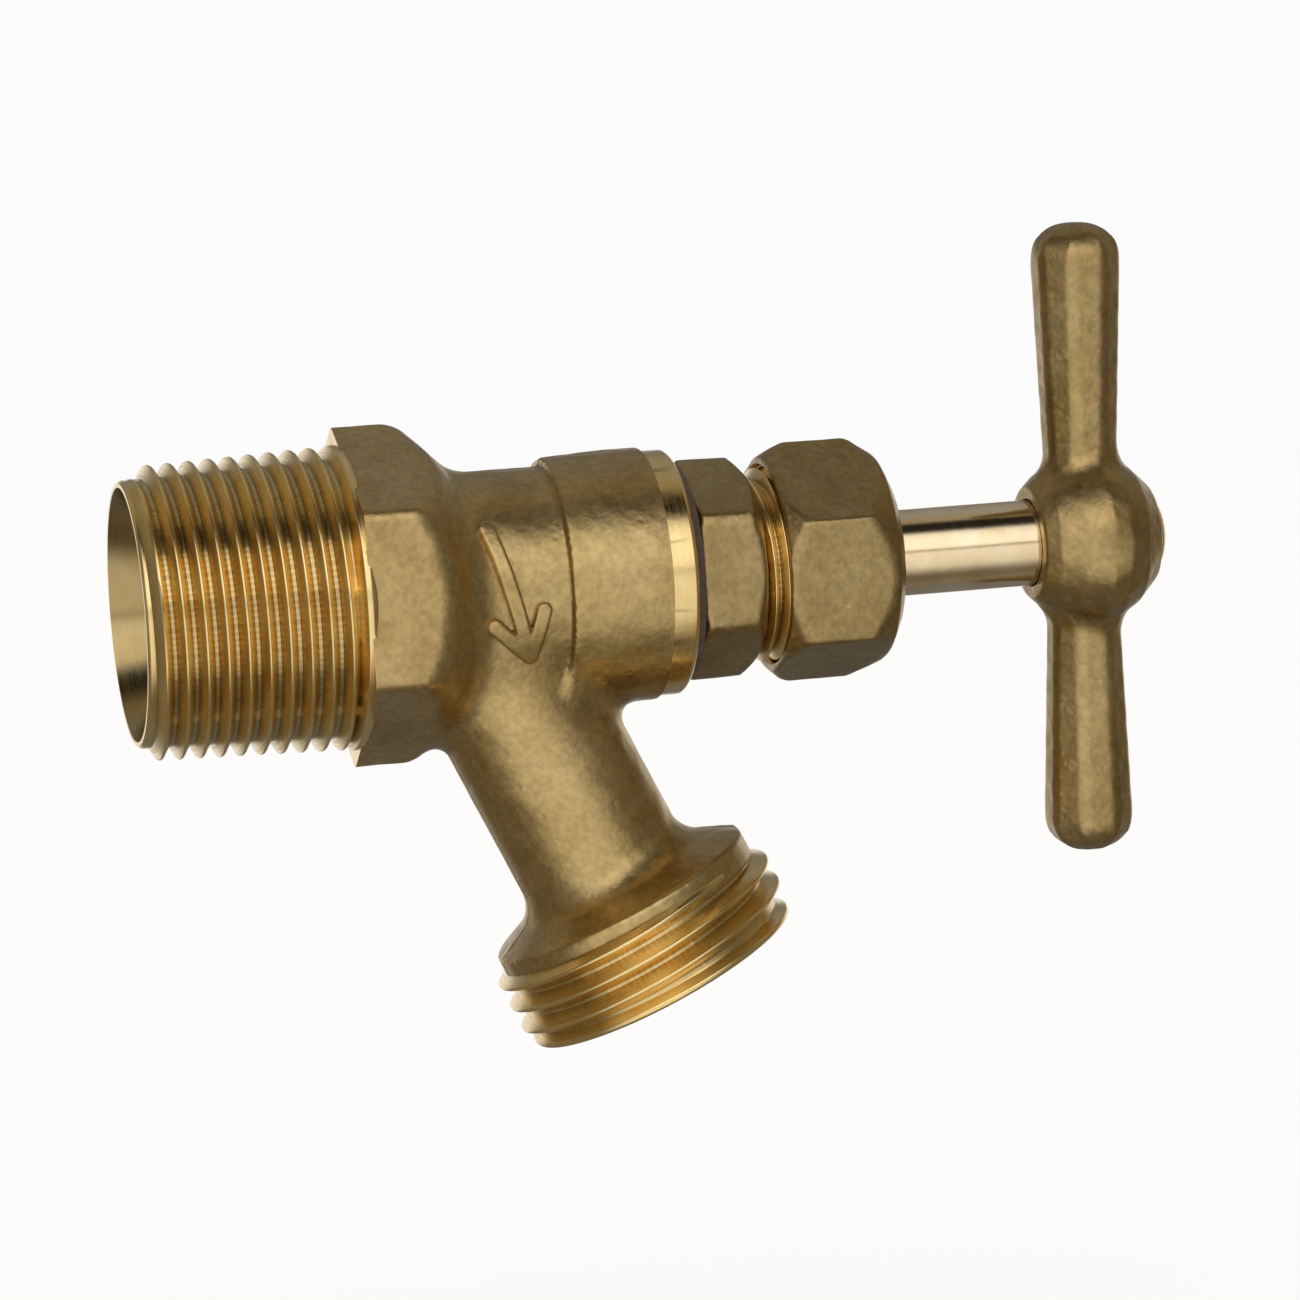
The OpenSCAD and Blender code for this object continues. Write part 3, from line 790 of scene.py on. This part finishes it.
def add_floor():
    """A wide, flat, pale floor, well below the valve."""
    turns = [2 * math.pi * i / FLOOR_SIDES for i in range(FLOOR_SIDES)]
    points = [(FLOOR_R * math.cos(a) / MM, FLOOR_R * math.sin(a) / MM, FLOOR_Z / MM) for a in turns]
    material = bpy.data.materials.new("pale_floor")
    material.use_nodes = True
    bsdf = material.node_tree.nodes["Principled BSDF"]
    bsdf.inputs["Base Color"].default_value = (0.875, 0.88, 0.89, 1)
    bsdf.inputs["Roughness"].default_value = 0.9
    bsdf.inputs["Specular IOR Level"].default_value = 0.1
    floor = make_object("floor", points, [tuple(range(FLOOR_SIDES))], material)
    floor.visible_glossy = False
    floor.visible_shadow = False


def by_angle(stops):
    """Stops of (degrees, brightness) as stops of half the sine plus a half."""
    return [(0.5 + 0.5 * math.sin(math.radians(degrees)), grey) for degrees, grey in stops]


def add_world():
    """A studio as brightness by direction: a broad soft light in front, dim sides and a pale backdrop."""
    world = bpy.data.worlds.new("studio")
    bpy.context.scene.world = world
    world.use_nodes = True
    tree = world.node_tree
    direction = tree.nodes.new("ShaderNodeTexCoord").outputs["Generated"]

    def vector(operation, source, value=None):
        node = tree.nodes.new("ShaderNodeVectorMath")
        node.operation = operation
        tree.links.new(source, node.inputs[0])
        if value:
            node.inputs[1].default_value = value
        return node

    def unit(output):
        node = tree.nodes.new("ShaderNodeMath")
        node.operation = "MULTIPLY_ADD"
        node.inputs[1].default_value = 0.5
        node.inputs[2].default_value = 0.5
        tree.links.new(output, node.inputs[0])
        return node.outputs[0]

    split = tree.nodes.new("ShaderNodeSeparateXYZ")
    tree.links.new(direction, split.inputs["Vector"])
    height = unit(split.outputs["Z"])
    level = vector("NORMALIZE", vector("MULTIPLY", direction, (1, 1, 0)).outputs["Vector"]).outputs["Vector"]
    key = (math.sin(KEY_AZIMUTH), -math.cos(KEY_AZIMUTH), 0)
    around = unit(vector("DOT_PRODUCT", level, key).outputs["Value"])

    soft_light, near, far, backdrop = (add_ramp(tree, height, by_angle(stops))
                                       for stops in (SOFT_LIGHT, NEAR_SIDE, FAR_SIDE, BEHIND))
    in_front = add_ramp(tree, around, [(0.63, 0.0), (0.78, 0.10), (0.86, 0.50), (0.93, 1.14)])
    behind = add_ramp(tree, around, [(0.08, 1.0), (0.16, 0.0)])
    facing = add_ramp(tree, around, [(0.45, 0.0), (0.62, 1.0)])
    warm = vector("MULTIPLY", add_mix(tree, "MIX", facing, far, near), (1.12, 0.98, 0.72)).outputs["Vector"]
    dim = add_mix(tree, "MIX", behind, warm, backdrop)
    colour = add_mix(tree, "ADD", 1.0, dim, add_mix(tree, "MULTIPLY", 1.0, soft_light, in_front))
    tree.links.new(colour, tree.nodes["Background"].inputs["Color"])


def add_overhead():
    """Wide, even light on the floor, which the brass does not mirror."""
    light = bpy.data.lights.new("overhead", "SUN")
    light.energy = 2.45
    light.angle = math.radians(70)
    obj = bpy.data.objects.new("overhead", light)
    obj.visible_glossy = False
    bpy.context.collection.objects.link(obj)


def add_camera():
    """A long lens in front, a little below the handle's end and slightly rolled."""
    a, e, r = VIEW_AZIMUTH, VIEW_ELEVATION, VIEW_ROLL
    back = Vector((math.sin(a) * math.cos(e), -math.cos(a) * math.cos(e), math.sin(e)))
    level = Vector((math.cos(a), math.sin(a), 0))
    upright = back.cross(level)
    right = level * math.cos(r) - upright * math.sin(r)
    up = level * math.sin(r) + upright * math.cos(r)
    camera = bpy.data.objects.new("camera", bpy.data.cameras.new("camera"))
    camera.data.lens = VIEW_LENS
    camera.data.sensor_width = VIEW_SENSOR
    camera.data.shift_x, camera.data.shift_y = VIEW_SHIFT
    camera.data.clip_start = 0.01
    turn = Matrix((right, up, back)).transposed().to_4x4()
    camera.matrix_world = Matrix.Translation(FOCUS + back * VIEW_DISTANCE) @ turn
    bpy.context.collection.objects.link(camera)
    bpy.context.scene.camera = camera


valve_body()
bonnet()
packing_nut()
stem()
handle()
finish_inside()

add_floor()
add_world()
add_overhead()
add_camera()
bpy.context.scene.view_settings.view_transform = "Standard"
